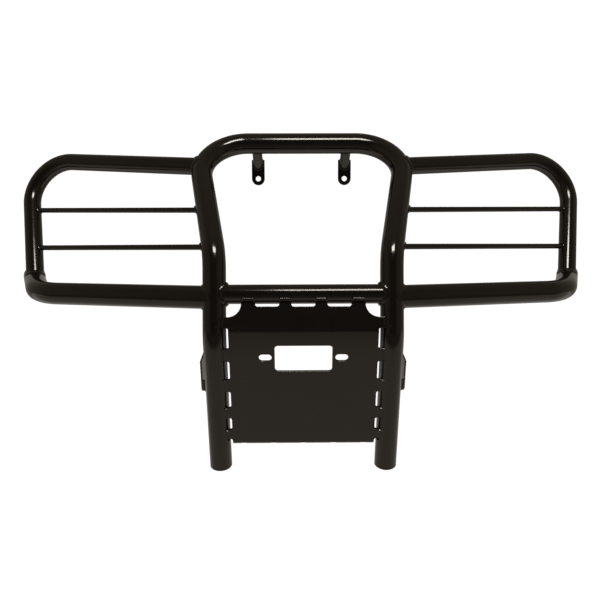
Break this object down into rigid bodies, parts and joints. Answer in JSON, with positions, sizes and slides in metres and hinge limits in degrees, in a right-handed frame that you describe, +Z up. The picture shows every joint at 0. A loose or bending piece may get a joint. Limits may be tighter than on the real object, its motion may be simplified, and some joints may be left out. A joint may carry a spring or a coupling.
{
  "type": "front grille guard",
  "caption": "Welded tube guard for a small vehicle's front: a bent hoop with swept side wings and grille rods, and a notched fairlead plate between its legs.",
  "frame": {"origin": "centre of the bottom of the bounding box, on the left-right symmetry plane", "axes": "+X to the right seen from the front, +Y back towards the vehicle, +Z up; the guard's front faces -Y"},
  "size_m": [1.097, 0.2908, 0.5963],
  "materials": {
    "tube_coat": "gloss black powder coat over steel tube",
    "plate_coat": "gloss black powder coat over steel sheet, fine orange peel",
    "end_plug": "black moulded polyethylene"
  },
  "bodies": {
    "root": {"main_hoop": "tube_coat", "cross_tube": "tube_coat", "lower_wing_tube_left": "tube_coat", "upper_wing_tube_left": "tube_coat", "grille_rod_upper_left": "tube_coat", "grille_rod_lower_left": "tube_coat", "lower_wing_tube_right": "tube_coat", "upper_wing_tube_right": "tube_coat", "grille_rod_upper_right": "tube_coat", "grille_rod_lower_right": "tube_coat", "winch_plate": "plate_coat", "stay_tab_left": "tube_coat", "stay_tube_left": "tube_coat", "stay_tab_right": "tube_coat", "stay_tube_right": "tube_coat", "leg_bracket_left": "tube_coat", "leg_bracket_right": "tube_coat", "leg_plug_left": "end_plug", "wing_plug_left": "end_plug", "leg_plug_right": "end_plug", "wing_plug_right": "end_plug"}
  },
  "joints": []
}
